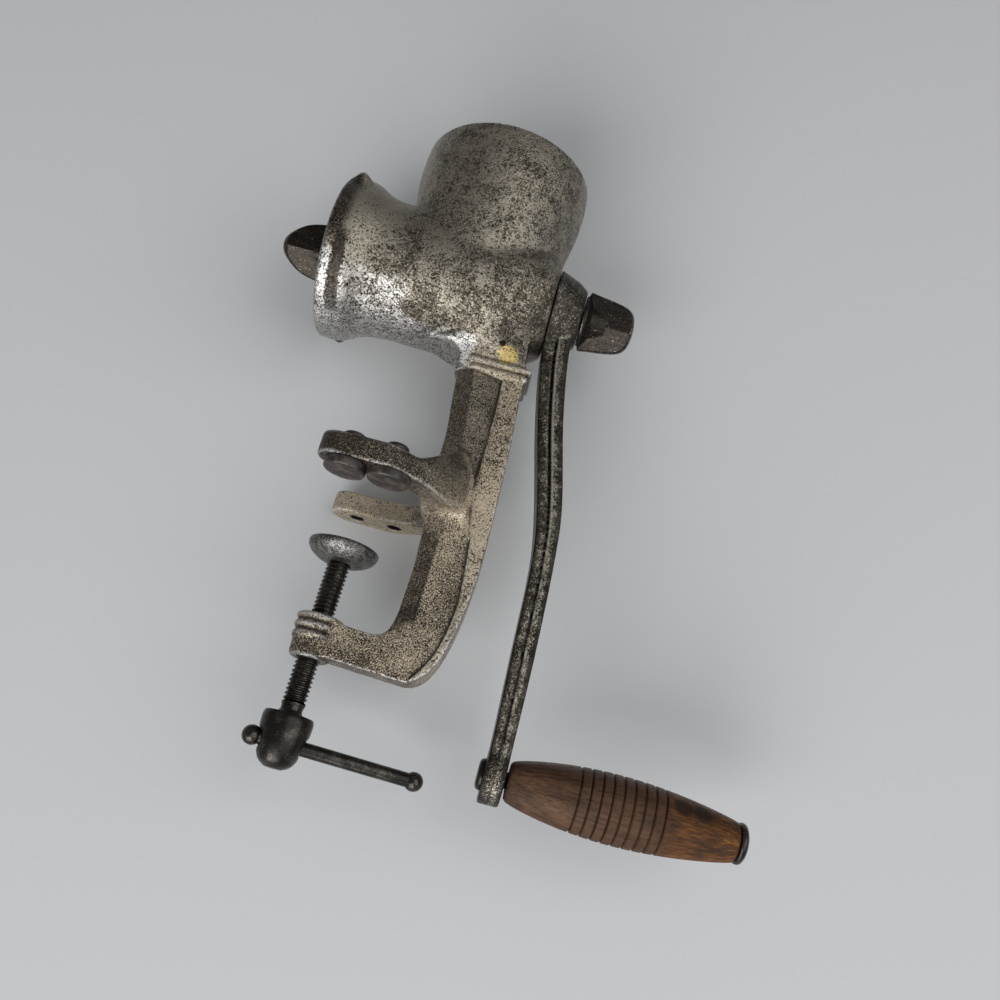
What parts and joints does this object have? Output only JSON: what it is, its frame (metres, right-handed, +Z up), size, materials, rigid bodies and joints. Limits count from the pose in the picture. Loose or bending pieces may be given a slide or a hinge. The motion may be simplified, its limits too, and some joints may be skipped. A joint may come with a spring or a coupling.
{
  "type": "manual meat grinder",
  "caption": "Hand-cranked cast food chopper with a round hopper, flared outlet bell, feed screw, wooden crank grip and a forked table clamp.",
  "frame": {"origin": "on the clamp screw's axis, in the plane of the table top under the upper jaw's feet", "axes": "+Z up to the hopper, +X back to the crank, the outlet bell faces -X"},
  "size_m": [0.254, 0.084, 0.2896],
  "materials": {
    "tinned_iron": "worn tinned casting with dark pitting",
    "dark_iron": "dark worn casting",
    "dark_steel": "blackened steel",
    "cutter_steel": "plain steel",
    "bronze": "dull",
    "rubber": "old rubber",
    "wood": "worn brown stain"
  },
  "bodies": {
    "body": {"body_casting": "tinned_iron", "foot_front": "rubber", "foot_rear": "rubber"},
    "drive": {"feed_screw": "tinned_iron", "thrust_washer": "bronze", "cutter_stud": "dark_steel"},
    "cutter": {"rotary_cutter": "cutter_steel"},
    "nut": {"cutter_nut": "dark_iron"},
    "crank": {"crank_arm": "dark_iron", "handle_spindle": "dark_steel", "handle_cap": "dark_steel"},
    "thumb_screw": {"crank_screw": "dark_iron"},
    "grip": {"handle_grip": "wood"},
    "pad": {"swivel_pad": "tinned_iron"},
    "screw": {"clamp_screw": "dark_steel"},
    "bar": {"tommy_bar": "dark_steel", "bar_knob_front": "dark_steel", "bar_knob_rear": "dark_steel"}
  },
  "joints": [
    {"name": "crank_turn", "type": "hinge", "parent": "body", "child": "drive", "pos_m": [0, 0, 0.113], "axis": [1, 0, 0], "continuous": true},
    {"name": "cutter_slide", "type": "slide", "parent": "drive", "child": "cutter", "axis": [-1, 0, 0], "range_m": [0, 0.006]},
    {"name": "cutter_nut_turn", "type": "hinge", "parent": "cutter", "child": "nut", "pos_m": [-0.06, 0, 0.113], "axis": [-1, 0, 0], "range_deg": [0, 1533]},
    {"name": "crank_slide", "type": "slide", "parent": "drive", "child": "crank", "axis": [1, 0, 0], "range_m": [0, 0.01]},
    {"name": "crank_screw_turn", "type": "hinge", "parent": "crank", "child": "thumb_screw", "pos_m": [0.08, 0, 0.113], "axis": [1, 0, 0], "range_deg": [0, 2555]},
    {"name": "grip_spin", "type": "hinge", "parent": "crank", "child": "grip", "pos_m": [0.13, 0, -0.0936], "axis": [1, 0, 0], "continuous": true},
    {"name": "pad_travel", "type": "slide", "parent": "body", "child": "pad", "axis": [0, 0, 1], "range_m": [-0.0205, 0.019]},
    {"name": "clamp_screw_turn", "type": "hinge", "parent": "pad", "child": "screw", "pos_m": [0, 0, -0.06], "axis": [0, 0, 1], "range_deg": [-4101, 3801]},
    {"name": "bar_slide", "type": "slide", "parent": "screw", "child": "bar", "axis": [0.9659, 0.2588, 0], "range_m": [-0.0432, 0]}
  ],
  "couplings": [
    {"joint": "cutter_nut_turn", "follows": "cutter_slide", "rad_per_m": 4456.2},
    {"joint": "crank_screw_turn", "follows": "crank_slide", "rad_per_m": 4456.2},
    {"joint": "clamp_screw_turn", "follows": "pad_travel", "rad_per_m": 3490.7}
  ]
}
